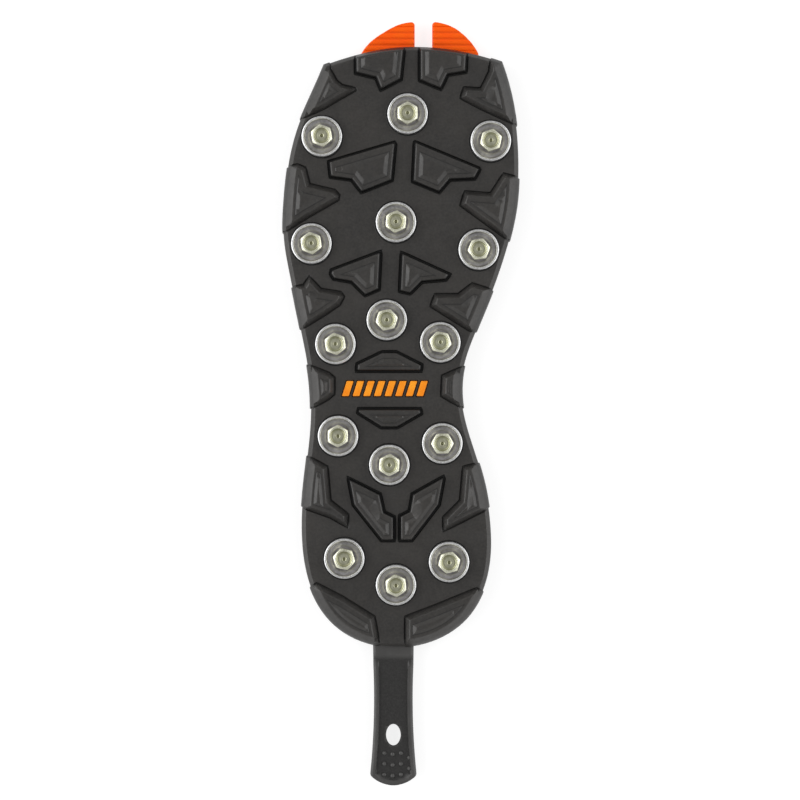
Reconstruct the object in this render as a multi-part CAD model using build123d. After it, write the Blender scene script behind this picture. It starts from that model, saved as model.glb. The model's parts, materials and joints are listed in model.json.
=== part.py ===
from build123d import *
import os

os.makedirs("parts", exist_ok=True)

# Clip-on studded outsole for a right boot, lying on its boot face with the tread up.
# Frame: +Y to the toe, +Z out of the tread, -X is the outer side of the foot, z = 0 is the boot face.

# Heights
LAND_TOP = 11.0
LUG_TOP = 15.0
LUG_ROOT = 2.5
EDGE_BEVEL = 2.0
EDGE_BEVEL_DROP = 2.5
PROUD = 0.7
LUG_WALL = 1.5

# How far cutters reach past what they cut, and the steps in which an outline is moved sideways
OVERCUT = 1.0
FAR = 80.0
OUTLINE_STEPS = 36

# Carrier plate
CARRIER_THICK = 3.0
CARRIER_INSET = 3.0
GROOVE_WIDTH = 1.6
GROOVE_DEPTH = 1.2
FLEX_GROOVES_Y = [70.0, 80.0, 90.0, 100.0, 110.0]
FIT_GAP = 0.05

# Clip layer: the toe clip and the heel strap share this height above the boot face
CLIP_LOW = 3.2
CLIP_THICK = 3.0
CLIP_MID = CLIP_LOW + CLIP_THICK / 2

# Toe clip
PRONG_TIP_Y = 191.7
PRONG_SHOULDER_Y = 175.8
PRONG_HINGE_Y = 172.0
PRONG_SLOT_LEFT = 7.0
PRONG_SLOT_RIGHT = 15.8
PRONG_ROOT_LEFT = -19.9
PRONG_ROOT_RIGHT = 39.1
PRONG_TIP_RADIUS = 1.6
HINGE_GAP = 0.3
PRONG_RELIEF = 1.5
PRONG_SIDE_RELIEF = 1.0
CLIP_BACK_Y = 143.0
CLIP_BACK_RADIUS = 6.0
CLIP_HOLE_GAP = 1.0
PRONG_RIBS_Y = [180.5, 183.5, 186.5]
PRONG_RIB_WIDTH = 1.0
PRONG_RIB_DEPTH = 0.4

# Heel strap
STRAP_X = -3.7
STRAP_THICK = 4.0
STRAP_LOW = CLIP_LOW
STRAP_MID = STRAP_LOW + STRAP_THICK / 2
STRAP_HINGE_Y = -127.0
STRAP_TIP_Y = -191.6
STRAP_WAIST_Y = -146.5
STRAP_WIDE_Y = -186.5
STRAP_ROOT_HALF = 10.3
STRAP_WAIST_HALF = 9.7
STRAP_WIDE_HALF = 11.7
STRAP_RIM_WIDTH = 2.2
STRAP_RIM_HEIGHT = 1.0
STRAP_RIM_START_Y = -132.8
STRAP_END_WALL = 5.2
STRAP_CORNER_RADIUS = 2.5
STRAP_HOLE_Y = -166.4
STRAP_HOLE_WIDE = 7.4
STRAP_HOLE_LONG = 11.2
STRAP_ANCHOR_IN_Y = -98.0
STRAP_ANCHOR_HALF = 13.0
STRAP_ANCHOR_NECK_Y = -115.0
NUB_RADIUS = 0.9
NUB_PITCH_X = 4.2
NUB_ROWS_Y = [-175.7, -181.0, -186.2]

# Traction discs, screws and inserts
DISC_RADIUS = 10.15
DISC_BOTTOM = 10.2
DISC_RIM_TOP = 14.0
DISC_RIM_WIDTH = 1.1
DISC_RIM_CHAMFER = 0.4
DISC_DISH_DEPTH = 1.5
DISC_HEAD_FLOOR = 6.2
DISC_HOLE_RADIUS = 2.7
SEAT_RADIUS = 10.7
HEAD_FLATS = 10.0
HEAD_TOP = 17.5
HEAD_CROWN_RADIUS = 4.6
HEAD_DOME_DROP = 1.0
HEAD_DOME_SLOPE = 1.6
HEAD_DIMPLE_RADIUS = 3.0
HEAD_DIMPLE_DEPTH = 0.8
SHANK_RADIUS = 2.4
SHANK_LOW = 3.6
INSERT_BORE = 2.5
INSERT_RADIUS = 4.0
INSERT_TOP = 9.8
INSERT_FLANGE_RADIUS = 6.5
INSERT_FLANGE_THICK = 1.5

# Badge: slanted bars on a backing strip buried in the arch
BADGE_X = -7.9
BADGE_Y = 7.6
BADGE_LONG = 43.0
BADGE_HIGH = 7.6
BADGE_BARS = 8
BADGE_BAR_WIDTH = 3.4
BADGE_SLANT = 2.4
BADGE_BACK_LOW = 8.4
BADGE_BACK_THICK = 1.0
BADGE_PROUD = 0.4

# Outline of the rubber: from the outer toe corner round the heel to the inner toe corner
TOE_OUTER = (-38.2, 169.7)
TOE_INNER = (50.3, 171.2)
SIDE_POINTS = [
    (-44.9, 154.4), (-51.1, 140.0), (-55.9, 122.0), (-58.2, 102.0), (-58.6, 83.0),
    (-55.9, 66.0), (-51.1, 42.0), (-47.0, 21.0), (-45.0, 2.0), (-46.1, -20.6),
    (-48.7, -43.0), (-49.6, -65.6), (-47.0, -85.6), (-36.9, -106.6), (-21.9, -117.7),
    (-3.4, -121.6), (15.1, -118.7), (31.1, -109.1), (40.6, -95.0), (44.9, -78.0),
    (44.7, -58.0), (41.3, -38.0), (33.6, -13.0), (30.4, 4.4), (32.2, 21.0),
    (37.3, 35.4), (46.1, 57.0), (53.3, 78.4), (57.6, 97.0), (59.0, 117.0),
    (58.1, 137.0), (54.7, 157.0),
]
TOE_POINTS = [(32.1, 176.2), (14.6, 178.6), (-1.0, 178.6), (-19.9, 175.4)]

# Front edge of the toe tongue between its shoulders
TONGUE_CROWN = [(-15.2, 181.8), (-8.2, 186.8), (0.5, 190.9), (7.0, 191.8), (17.6, 191.7),
                (26.1, 189.3), (32.3, 184.8), (36.0, 180.8)]

# Tread blocks that stand alone on the land
CENTRE_LUGS = {
    "ball_outer": [(-37.0, 121.7), (-2.7, 131.8), (-1.7, 129.8), (-3.5, 111.0), (-20.0, 104.5),
                   (-25.0, 111.0), (-36.0, 112.5)],
    "ball_inner": [(7.0, 132.0), (39.5, 118.5), (40.5, 117.0), (37.5, 111.5), (25.0, 111.0),
                   (19.5, 104.5), (5.0, 110.5), (6.0, 131.0)],
    "shank_outer": [(-35.5, 67.5), (-9.0, 77.5), (-10.0, 56.5), (-18.0, 53.0), (-25.0, 60.0),
                    (-34.0, 61.5), (-36.0, 64.5)],
    "shank_inner": [(-0.5, 77.0), (26.0, 65.0), (23.0, 61.0), (11.0, 60.0), (5.0, 54.0),
                    (-1.5, 55.5)],
    "arch_front": [(-23.1, 15.4), (-22.7, 20.5), (-9.5, 26.8), (-2.0, 26.8), (11.5, 20.0),
                   (11.0, 15.4)],
    "arch_rear": [(-21.9, -1.6), (10.5, -1.6), (11.5, -5.3), (-1.5, -12.8), (-10.0, -12.8),
                  (-22.4, -5.0)],
    "heel_outer": [(-27.5, -35.5), (-9.5, -44.5), (-7.5, -53.5), (-2.4, -56.0), (-2.4, -69.3),
                   (-10.0, -69.3), (-24.5, -51.0)],
    "heel_inner": [(22.0, -35.0), (5.0, -44.5), (3.5, -53.0), (-1.4, -55.5), (-1.4, -69.3),
                   (6.0, -69.3), (20.0, -51.0), (22.5, -37.5)],
}

# Tread blocks that run out over the edge; their outer corners lie beyond the outline
EDGE_LUGS = {
    "toe_outer": [(-23.5, 190.0), (-23.5, 164.5), (-13.0, 162.0), (-10.5, 155.5), (1.0, 161.5),
                  (2.5, 176.0), (2.5, 190.0)],
    "toe_inner": [(8.5, 190.0), (8.5, 161.0), (20.5, 156.0), (24.0, 163.5), (33.5, 165.0),
                  (34.5, 190.0)],
    "corner_outer": [(-35.0, 180.0), (-34.5, 167.5), (-31.5, 162.0), (-29.0, 160.0),
                     (-22.5, 158.5), (-21.5, 156.5), (-30.5, 151.5), (-38.0, 147.0),
                     (-55.5, 139.0), (-62.0, 180.0)],
    "corner_inner": [(45.0, 180.0), (43.5, 166.5), (39.5, 158.5), (31.0, 159.0), (29.0, 152.5),
                     (39.5, 147.0), (64.0, 135.5), (66.0, 180.0)],
    "forefoot_outer": [(-64.0, 117.5), (-51.5, 120.5), (-47.0, 118.5), (-45.0, 110.5),
                       (-32.5, 107.5), (-30.0, 104.5), (-30.5, 101.5), (-45.5, 93.0),
                       (-64.0, 81.0)],
    "forefoot_inner": [(66.0, 112.0), (51.0, 116.0), (44.5, 106.0), (31.5, 107.0), (29.0, 99.0),
                       (49.5, 84.0), (62.0, 74.5)],
    "flank_outer": [(-62.0, 58.0), (-49.0, 60.0), (-46.0, 65.0), (-39.5, 58.0), (-29.5, 56.5),
                    (-27.5, 53.5), (-30.0, 49.0), (-38.0, 43.5), (-60.0, 30.0)],
    "flank_inner": [(56.0, 54.5), (35.5, 61.0), (28.5, 55.5), (16.5, 55.5), (14.0, 48.5),
                    (34.0, 36.0), (50.0, 31.5)],
    "waist_outer": [(-54.0, 23.5), (-35.5, 16.0), (-32.5, 13.5), (-32.5, 4.5), (-36.0, 1.5),
                    (-54.0, -8.5)],
    "waist_inner": [(42.0, 24.5), (20.0, 14.5), (19.5, 3.5), (40.0, -8.5)],
    "rear_outer": [(-56.0, -20.0), (-36.0, -31.0), (-34.5, -48.0), (-25.5, -55.0),
                   (-26.0, -63.0), (-35.5, -57.5), (-58.0, -49.5)],
    "rear_inner": [(50.0, -26.0), (30.5, -31.0), (29.0, -48.0), (20.5, -56.5), (20.5, -65.0),
                   (56.0, -47.0)],
    "heel_corner_outer": [(-58.0, -98.0), (-42.0, -89.0), (-28.5, -96.0), (-12.5, -106.0),
                          (-10.0, -120.0), (-10.0, -135.0), (-58.0, -135.0)],
    "heel_corner_inner": [(54.0, -99.0), (38.0, -91.5), (18.5, -99.5), (1.5, -106.0),
                          (1.5, -135.0), (54.0, -135.0)],
}

# Disc centres with the turn of each screw head, in degrees, as the screws happened to stop
DISCS = [
    (-39.4, 133.5, 40.0), (3.4, 144.8, 30.0), (44.9, 131.2, 18.0), (-44.6, 80.0, 38.0),
    (-2.4, 90.7, 25.0), (38.9, 77.0, 8.0), (-32.6, 29.8, 38.0), (-7.0, 41.8, 12.0),
    (19.7, 30.7, 48.0), (-31.3, -16.1, 30.0), (20.7, -19.8, 0.0), (-5.7, -30.5, 27.0),
    (-28.2, -77.3, 47.0), (-2.4, -90.5, 35.0), (24.1, -79.0, 14.0),
]


def outward(edge, t):
    tangent = edge % t
    return Vector(tangent.Y, -tangent.X).normalized()


def moved_edge(edge, grow, start_corner, end_corner):
    # a smooth curve beside the given one, through evenly spaced points moved along its normal
    points = [start_corner]
    for step in range(1, OUTLINE_STEPS):
        t = step / OUTLINE_STEPS
        points.append((edge @ t) + outward(edge, t) * grow)
    return Spline(*points, end_corner)


def moved_corner(edge_in, edge_out, grow):
    before = outward(edge_in, 1)
    after = outward(edge_out, 0)
    mitre = (before + after) * (grow / (1 + before.dot(after)))
    return (edge_in @ 1) + mitre


def outline_face(grow):
    # the outline of the rubber, moved outwards by grow
    side = Spline(TOE_OUTER, *SIDE_POINTS, TOE_INNER)
    toe = Spline(TOE_INNER, *TOE_POINTS, TOE_OUTER)
    if grow:
        outer_corner = moved_corner(toe, side, grow)
        inner_corner = moved_corner(side, toe, grow)
        moved_side = moved_edge(side, grow, outer_corner, inner_corner)
        toe = moved_edge(toe, grow, inner_corner, outer_corner)
        side = moved_side
    return make_face([side, toe])


def polygon_face(points):
    return make_face(Polyline(*points, close=True))


def slab(face, low, high):
    return extrude(Pos(0, 0, low) * face, amount=high - low, dir=(0, 0, 1))


def box_between(x_low, x_high, y_low, y_high, z_low, z_high):
    size = (x_high - x_low, y_high - y_low, z_high - z_low)
    centre = ((x_low + x_high) / 2, (y_low + y_high) / 2, (z_low + z_high) / 2)
    return Pos(*centre) * Box(*size)


def rod(x, y, radius, low, high):
    return Pos(x, y, (low + high) / 2) * Cylinder(radius, high - low)


def prong_face(x_low, x_high):
    # both prongs are cut from one rounded tongue, with a straight slot between them
    left_shoulder = (PRONG_ROOT_LEFT, PRONG_SHOULDER_Y)
    right_shoulder = (PRONG_ROOT_RIGHT, PRONG_SHOULDER_Y)
    crown = Spline(left_shoulder, *TONGUE_CROWN, right_shoulder)
    root = Polyline(right_shoulder, (PRONG_ROOT_RIGHT, PRONG_HINGE_Y),
                    (PRONG_ROOT_LEFT, PRONG_HINGE_Y), left_shoulder)
    tongue = make_face([crown, root])
    half = Pos((x_low + x_high) / 2, PRONG_HINGE_Y) * Rectangle(x_high - x_low, FAR)
    return tongue & half


def toe_prong(x_low, x_high):
    blade = slab(prong_face(x_low, x_high), CLIP_LOW, CLIP_LOW + CLIP_THICK)
    tip_edge = blade.edges().filter_by(Axis.Z).sort_by(Axis.Y)[-1]
    blade = fillet(tip_edge, PRONG_TIP_RADIUS)
    for y in PRONG_RIBS_Y:
        groove = box_between(x_low, x_high, y, y + PRONG_RIB_WIDTH,
                             CLIP_LOW + CLIP_THICK - PRONG_RIB_DEPTH, FAR)
        blade -= groove
    root = Pos((x_low + x_high) / 2, PRONG_HINGE_Y, CLIP_MID) * Rot(0, 90, 0)
    return blade + root * Cylinder(CLIP_THICK / 2, x_high - x_low)


def toe_clip_base():
    # the tongue runs back between the carrier and the rubber as one plate
    front = PRONG_HINGE_Y - CLIP_THICK / 2 - HINGE_GAP
    plate = box_between(PRONG_ROOT_LEFT, PRONG_ROOT_RIGHT, CLIP_BACK_Y, front,
                        CLIP_LOW, CLIP_LOW + CLIP_THICK)
    plate = fillet(plate.edges().filter_by(Axis.Z).sort_by(Axis.Y)[:2], CLIP_BACK_RADIUS)
    for x, y, _ in DISCS:
        plate -= rod(x, y, INSERT_FLANGE_RADIUS + CLIP_HOLE_GAP, 0, LAND_TOP)
    return plate


def strap_outline(root_y):
    right = Spline((STRAP_ROOT_HALF, root_y), (STRAP_WAIST_HALF, STRAP_WAIST_Y),
                   (STRAP_WIDE_HALF, STRAP_WIDE_Y))
    left = Spline((-STRAP_ROOT_HALF, root_y), (-STRAP_WAIST_HALF, STRAP_WAIST_Y),
                  (-STRAP_WIDE_HALF, STRAP_WIDE_Y))
    end = ThreePointArc((STRAP_WIDE_HALF, STRAP_WIDE_Y), (0, STRAP_TIP_Y),
                        (-STRAP_WIDE_HALF, STRAP_WIDE_Y))
    top = Line((-STRAP_ROOT_HALF, root_y), (STRAP_ROOT_HALF, root_y))
    face = make_face([right, end, left, top])
    return fillet(face.vertices().group_by(Axis.Y)[0], STRAP_CORNER_RADIUS)


def heel_strap():
    face = strap_outline(STRAP_HINGE_Y)
    strap = slab(face, STRAP_LOW, STRAP_LOW + STRAP_THICK)
    floor = STRAP_LOW + STRAP_THICK - STRAP_RIM_HEIGHT
    inner = box_between(-STRAP_WAIST_HALF + STRAP_RIM_WIDTH, STRAP_WAIST_HALF - STRAP_RIM_WIDTH,
                        STRAP_TIP_Y + STRAP_END_WALL, STRAP_RIM_START_Y, floor, FAR)
    strap -= inner
    hole = Pos(0, STRAP_HOLE_Y, 0) * Ellipse(STRAP_HOLE_WIDE / 2, STRAP_HOLE_LONG / 2)
    strap -= slab(hole, 0, FAR)
    for y in NUB_ROWS_Y:
        for column in (-1, 0, 1):
            strap += Pos(column * NUB_PITCH_X, y, floor) * Sphere(NUB_RADIUS)
    root = Pos(0, STRAP_HINGE_Y, STRAP_MID) * Rot(0, 90, 0)
    strap += root * Cylinder(STRAP_THICK / 2, 2 * STRAP_ROOT_HALF)
    return Pos(STRAP_X, 0, 0) * strap


def heel_strap_anchor():
    # a broad tail inside the heel and a boss that carries the strap just outside it
    front = STRAP_HINGE_Y + STRAP_THICK / 2 + HINGE_GAP
    tail = box_between(STRAP_X - STRAP_ANCHOR_HALF, STRAP_X + STRAP_ANCHOR_HALF,
                       STRAP_ANCHOR_NECK_Y, STRAP_ANCHOR_IN_Y,
                       CLIP_LOW, CLIP_LOW + CLIP_THICK)
    neck = box_between(STRAP_X - STRAP_ROOT_HALF, STRAP_X + STRAP_ROOT_HALF, front,
                       STRAP_ANCHOR_NECK_Y, STRAP_LOW, STRAP_LOW + STRAP_THICK)
    return tail + neck


def disc_seat_cutter(x, y):
    seat = rod(x, y, SEAT_RADIUS, DISC_BOTTOM, FAR)
    barrel = rod(x, y, INSERT_RADIUS + FIT_GAP, 0, LAND_TOP)
    flange = rod(x, y, INSERT_FLANGE_RADIUS + FIT_GAP, 0,
                 CARRIER_THICK + INSERT_FLANGE_THICK + FIT_GAP)
    return [seat, barrel, flange]


def badge_bar(index, grow):
    pitch = (BADGE_LONG - BADGE_SLANT - BADGE_BAR_WIDTH) / (BADGE_BARS - 1)
    x = BADGE_X - (BADGE_LONG - BADGE_SLANT) / 2 + index * pitch - BADGE_SLANT / 2
    low = BADGE_Y - BADGE_HIGH / 2
    high = BADGE_Y + BADGE_HIGH / 2
    corners = [(x, low), (x + BADGE_BAR_WIDTH, low), (x + BADGE_BAR_WIDTH + BADGE_SLANT, high),
               (x + BADGE_SLANT, high)]
    bar = polygon_face(corners)
    if grow:
        bar = offset(bar, grow, kind=Kind.INTERSECTION)
    return slab(bar, BADGE_BACK_LOW + BADGE_BACK_THICK / 2, LAND_TOP + BADGE_PROUD)


def badge_shape(grow):
    back = Pos(BADGE_X, BADGE_Y, BADGE_BACK_LOW + BADGE_BACK_THICK / 2)
    shape = back * Box(BADGE_LONG + 2 * grow, BADGE_HIGH + 2 * grow, BADGE_BACK_THICK + 2 * grow)
    for index in range(BADGE_BARS):
        shape += badge_bar(index, grow)
    return shape


def lug_block(points, limit):
    # a straight-sided block whose walls run through the middle of the moulded, sloping ones
    face = offset(polygon_face(points), -LUG_WALL / 2, kind=Kind.INTERSECTION)
    low = LAND_TOP - EDGE_BEVEL_DROP
    if limit is not None:
        face = face & limit
        low = LUG_ROOT
    return slab(face, low, LUG_TOP)


def outsole():
    proud_face = outline_face(PROUD)
    shoulder = LAND_TOP - EDGE_BEVEL_DROP
    body = slab(outline_face(0), 0, shoulder)
    rim = Pos(0, 0, shoulder) * outline_face(0)
    land = Pos(0, 0, LAND_TOP) * outline_face(-EDGE_BEVEL)
    body += loft([rim.faces()[0], land.faces()[0]], ruled=True)
    for points in CENTRE_LUGS.values():
        body += lug_block(points, None)
    for points in EDGE_LUGS.values():
        body += lug_block(points, proud_face)
    cutters = [slab(carrier_face(-FIT_GAP), -OVERCUT, CARRIER_THICK + FIT_GAP)]
    for x, y, _ in DISCS:
        cutters += disc_seat_cutter(x, y)
    cutters.append(badge_shape(FIT_GAP))
    cutters += [toe_pocket(), prong_mouth(), heel_pocket()]
    for cutter in cutters:
        body -= cutter
    return body


def toe_pocket():
    return box_between(PRONG_ROOT_LEFT - FIT_GAP, PRONG_ROOT_RIGHT + FIT_GAP,
                       CLIP_BACK_Y - FIT_GAP, PRONG_HINGE_Y,
                       CARRIER_THICK, CLIP_LOW + CLIP_THICK + FIT_GAP)


def prong_mouth():
    # room above, below and beside the prongs, so that they can flex at the toe edge
    return box_between(PRONG_ROOT_LEFT - PRONG_SIDE_RELIEF, PRONG_ROOT_RIGHT + PRONG_SIDE_RELIEF,
                       PRONG_HINGE_Y - CLIP_THICK, PRONG_TIP_Y,
                       CLIP_LOW - PRONG_RELIEF, CLIP_LOW + CLIP_THICK + PRONG_RELIEF)


def heel_pocket():
    tail = box_between(STRAP_X - STRAP_ANCHOR_HALF - FIT_GAP, STRAP_X + STRAP_ANCHOR_HALF + FIT_GAP,
                       STRAP_ANCHOR_NECK_Y - FIT_GAP, STRAP_ANCHOR_IN_Y + FIT_GAP,
                       CARRIER_THICK, CLIP_LOW + CLIP_THICK + FIT_GAP)
    neck = box_between(STRAP_X - STRAP_ROOT_HALF - FIT_GAP, STRAP_X + STRAP_ROOT_HALF + FIT_GAP,
                       STRAP_HINGE_Y, STRAP_ANCHOR_NECK_Y + OVERCUT,
                       STRAP_LOW - FIT_GAP, STRAP_LOW + STRAP_THICK + FIT_GAP)
    return tail + neck


def carrier_face(shrink):
    return outline_face(-CARRIER_INSET - shrink)


def carrier_plate():
    face = carrier_face(0)
    plate = slab(face, 0, CARRIER_THICK)
    for y in FLEX_GROOVES_Y:
        plate -= box_between(-FAR, FAR, y, y + GROOVE_WIDTH, -OVERCUT, GROOVE_DEPTH)
    return plate - prong_mouth()


def traction_disc(x, y):
    blank = rod(x, y, DISC_RADIUS, DISC_BOTTOM, DISC_RIM_TOP)
    blank = chamfer(blank.edges().sort_by(Axis.Z)[-1], DISC_RIM_CHAMFER)
    dish = Pos(x, y, DISC_RIM_TOP - DISC_DISH_DEPTH / 2) * Cone(
        DISC_HEAD_FLOOR, DISC_RADIUS - DISC_RIM_WIDTH, DISC_DISH_DEPTH)
    return blank - dish - rod(x, y, DISC_HOLE_RADIUS, 0, FAR)


def stud_screw(x, y, turn):
    seat = DISC_RIM_TOP - DISC_DISH_DEPTH
    prism = slab(Rot(0, 0, turn) * RegularPolygon(HEAD_FLATS / 2, 6, major_radius=False),
                 seat, HEAD_TOP)
    dome = Pos(0, 0, HEAD_TOP - HEAD_DOME_DROP / 2) * Cone(
        HEAD_CROWN_RADIUS + HEAD_DOME_DROP * HEAD_DOME_SLOPE, HEAD_CROWN_RADIUS, HEAD_DOME_DROP)
    lower = box_between(-HEAD_FLATS, HEAD_FLATS, -HEAD_FLATS, HEAD_FLATS, seat,
                        HEAD_TOP - HEAD_DOME_DROP)
    head = prism & (dome + lower)
    head -= rod(0, 0, HEAD_DIMPLE_RADIUS, HEAD_TOP - HEAD_DIMPLE_DEPTH, FAR)
    head += rod(0, 0, SHANK_RADIUS, SHANK_LOW, seat + OVERCUT)
    return Pos(x, y, 0) * head


def stud_insert(x, y):
    flange = rod(x, y, INSERT_FLANGE_RADIUS, CARRIER_THICK + FIT_GAP,
                 CARRIER_THICK + INSERT_FLANGE_THICK)
    barrel = rod(x, y, INSERT_RADIUS, CARRIER_THICK + FIT_GAP, INSERT_TOP)
    return flange + barrel - rod(x, y, INSERT_BORE, 0, FAR)


def write(shape, node):
    solids = shape.solids()
    body = solids[0] if len(solids) == 1 else Compound(solids)
    body.label = node
    export_step(body, "parts/" + node + ".step")


write(outsole(), "outsole")
write(carrier_plate(), "carrier_plate")
write(toe_clip_base(), "toe_clip_base")
write(toe_prong(PRONG_ROOT_LEFT, PRONG_SLOT_LEFT), "toe_prong_outer")
write(toe_prong(PRONG_SLOT_RIGHT, PRONG_ROOT_RIGHT), "toe_prong_inner")
write(heel_strap_anchor(), "heel_strap_anchor")
write(heel_strap(), "heel_strap")
write(badge_shape(0), "arch_badge")
for number, (x, y, turn) in enumerate(DISCS, start=1):
    write(traction_disc(x, y), "traction_disc_%02d" % number)
    write(stud_screw(x, y, turn), "stud_screw_%02d" % number)
    write(stud_insert(x, y), "stud_insert_%02d" % number)
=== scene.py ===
"""Looks for a clip-on studded outsole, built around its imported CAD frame.

The frame lies on its boot face with the tread up and the toe towards +Y. Shapes are worked out in
millimetres in the plan view, from loops read off the frame, and written to meshes in metres.
"""

import json
import math

import bmesh
import bpy
import numpy as np
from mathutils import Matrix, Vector
from mathutils.geometry import delaunay_2d_cdt

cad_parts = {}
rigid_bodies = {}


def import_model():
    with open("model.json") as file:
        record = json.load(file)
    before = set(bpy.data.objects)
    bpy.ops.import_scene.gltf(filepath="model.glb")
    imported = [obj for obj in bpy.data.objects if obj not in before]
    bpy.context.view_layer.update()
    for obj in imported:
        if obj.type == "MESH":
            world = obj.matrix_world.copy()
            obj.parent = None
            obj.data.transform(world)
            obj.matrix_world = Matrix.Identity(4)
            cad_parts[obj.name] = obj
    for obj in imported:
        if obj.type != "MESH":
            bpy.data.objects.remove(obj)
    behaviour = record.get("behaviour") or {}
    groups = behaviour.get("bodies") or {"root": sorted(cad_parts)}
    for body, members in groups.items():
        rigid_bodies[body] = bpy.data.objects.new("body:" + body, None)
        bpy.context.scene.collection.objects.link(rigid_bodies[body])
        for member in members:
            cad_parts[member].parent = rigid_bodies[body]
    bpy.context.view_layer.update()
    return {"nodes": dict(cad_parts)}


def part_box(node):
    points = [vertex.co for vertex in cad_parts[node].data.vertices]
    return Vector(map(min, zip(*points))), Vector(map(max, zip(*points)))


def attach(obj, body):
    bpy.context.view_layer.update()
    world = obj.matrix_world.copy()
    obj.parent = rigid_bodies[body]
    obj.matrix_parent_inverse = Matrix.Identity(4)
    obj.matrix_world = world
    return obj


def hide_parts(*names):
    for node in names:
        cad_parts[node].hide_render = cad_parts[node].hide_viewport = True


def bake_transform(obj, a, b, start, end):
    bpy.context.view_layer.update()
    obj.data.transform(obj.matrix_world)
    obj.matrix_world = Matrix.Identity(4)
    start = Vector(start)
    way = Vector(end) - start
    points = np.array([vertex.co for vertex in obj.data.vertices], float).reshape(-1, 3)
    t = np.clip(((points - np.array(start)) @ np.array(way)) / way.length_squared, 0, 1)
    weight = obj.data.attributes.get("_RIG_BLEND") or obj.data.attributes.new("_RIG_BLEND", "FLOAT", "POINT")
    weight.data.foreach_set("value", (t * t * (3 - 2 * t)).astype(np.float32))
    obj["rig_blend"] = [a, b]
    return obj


for leftover in list(bpy.data.objects):
    bpy.data.objects.remove(leftover)

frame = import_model()
NODES = frame["nodes"]
MM = 0.001

# Heights of the tread, in mm above the boot face
SHOULDER = 8.3
LAND = 11.0
LEDGE = 13.7
LUG_TOP = 15.0
SEAT_FLOOR = 10.2
POCKET_TOP = 3.05
LUG_ROOT = 2.5
CENTRE_ROOT = 9.0

# Edge of the land: distance in from the outline, and height there
BEVEL = [(0.0, SHOULDER), (0.35, 9.0), (1.9, 10.8), (2.4, LAND)]
# Side wall under the shoulder: distance out from the outline, and height
SIDE_WALL = [(0.0, 6.6), (-0.35, 6.2), (-0.35, 5.6), (0.0, 5.2), (0.0, 0.8), (-0.3, 0.2), (-0.8, 0.0)]
# Disc seats: radius and height
SEAT_LIP = [(10.62, SEAT_FLOOR), (10.7, 10.8), (11.0, LAND)]
# Grooves round the blocks: distance out from the wall of the block, and height
CENTRE_GROOVE = [(0.45, 9.7), (0.6, 10.75), (0.85, LAND)]
EDGE_GROOVE = [(0.2, 10.3), (0.5, 10.8), (0.8, LAND)]
BADGE_GROOVE = [(0.25, 10.5), (0.45, 10.85), (0.6, LAND)]
# Painted shade in the grooves, from 0 to 1: how dark they are made
CENTRE_SHADE = 1.0
TOE_SHADE = 0.9
EDGE_SHADE = 0.7
# Spacing of points along the outline and the pocket
OUTLINE_SPACING = 1.5
POCKET_SPACING = 3.0

# How far past the outline a block stands at the edge, and a side of it faces outwards
EDGE_REACH = 0.3
SIDE_REACH = 0.2
# Blocks in front of and behind these places, in mm along the sole, have their own walls
TOE_FROM = 155.0
HEEL_FROM = -95.0
# Room round the prongs in the toe wall: beside them, over them, and behind the front of their base
MOUTH_SIDE = 1.0
MOUTH_OVER = 1.5
MOUTH_BACK = 1.2

# A rounded corner has this many pieces; a turn under SHARP_TURN belongs to a curve
ARC_STEPS = 3
SHARP_TURN = math.radians(15)
STRAIGHT_TURN = math.radians(0.3)
# Two edges that meet further away than this, in mm, are nearly parallel
FARTHEST_MEET = 12.0
# Vertices of a mesh closer than this, in mm, become one
WELD = 0.002


# Loops in the plan view -------------------------------------------------------------------------


def flat_loops(node, level, up):
    """Outlines, in mm and anticlockwise, of a CAD node's flat faces at one height, largest first."""
    mesh = NODES[node].data
    sign = 1 if up else -1
    spots = [tuple(round(c / MM, 3) for c in v.co) for v in mesh.vertices]
    edges = set()
    for face in mesh.polygons:
        corners = [spots[i] for i in face.vertices]
        if sign * face.normal.z > 0.99 and all(abs(c[2] - level) < 0.01 for c in corners):
            edges.update(zip(corners, corners[1:] + corners[:1]))
    onward = {a: b for a, b in edges if (b, a) not in edges}
    loops = []
    while onward:
        first, spot = onward.popitem()
        loop = [Vector(first[:2])]
        while spot != first:
            loop.append(Vector(spot[:2]))
            spot = onward.pop(spot)
        if area(loop) < 0:
            loop.reverse()
        loops.append(loop)
    return sorted(loops, key=area, reverse=True)


def area(loop):
    return sum(a.cross(b) for a, b in zip(loop, loop[1:] + loop[:1])) / 2


def turn(loop, i):
    into = loop[i] - loop[i - 1]
    out = loop[(i + 1) % len(loop)] - loop[i]
    if min(into.length, out.length) < 1e-6:
        return 0.0
    return abs(into.angle(out))


def without_straight_points(loop):
    return [p for i, p in enumerate(loop) if turn(loop, i) > STRAIGHT_TURN]


def resampled(loop, spacing):
    """The closed loop as a smooth curve with even spacing; its sharp corners stay."""
    corners = [i for i in range(len(loop)) if turn(loop, i) > SHARP_TURN] or [0]
    made = []
    for here, there in zip(corners, corners[1:] + [corners[0] + len(loop)]):
        run = [loop[i % len(loop)] for i in range(here, there + 1)]
        for k in range(len(run) - 1):
            before = run[k - 1] if k else run[k] * 2 - run[k + 1]
            after = run[k + 2] if k + 2 < len(run) else run[k + 1] * 2 - run[k]
            count = max(1, round((run[k + 1] - run[k]).length / spacing))
            for step in range(count):
                made.append(curve_point(before, run[k], run[k + 1], after, step / count))
    return made


def curve_point(before, a, b, after, t):
    """A point on the Catmull-Rom curve between a and b."""
    start = (b - before) / 2
    end = (after - a) / 2
    return (
        a * (2 * t**3 - 3 * t**2 + 1)
        + start * (t**3 - 2 * t**2 + t)
        + b * (3 * t**2 - 2 * t**3)
        + end * (t**3 - t**2)
    )


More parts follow.
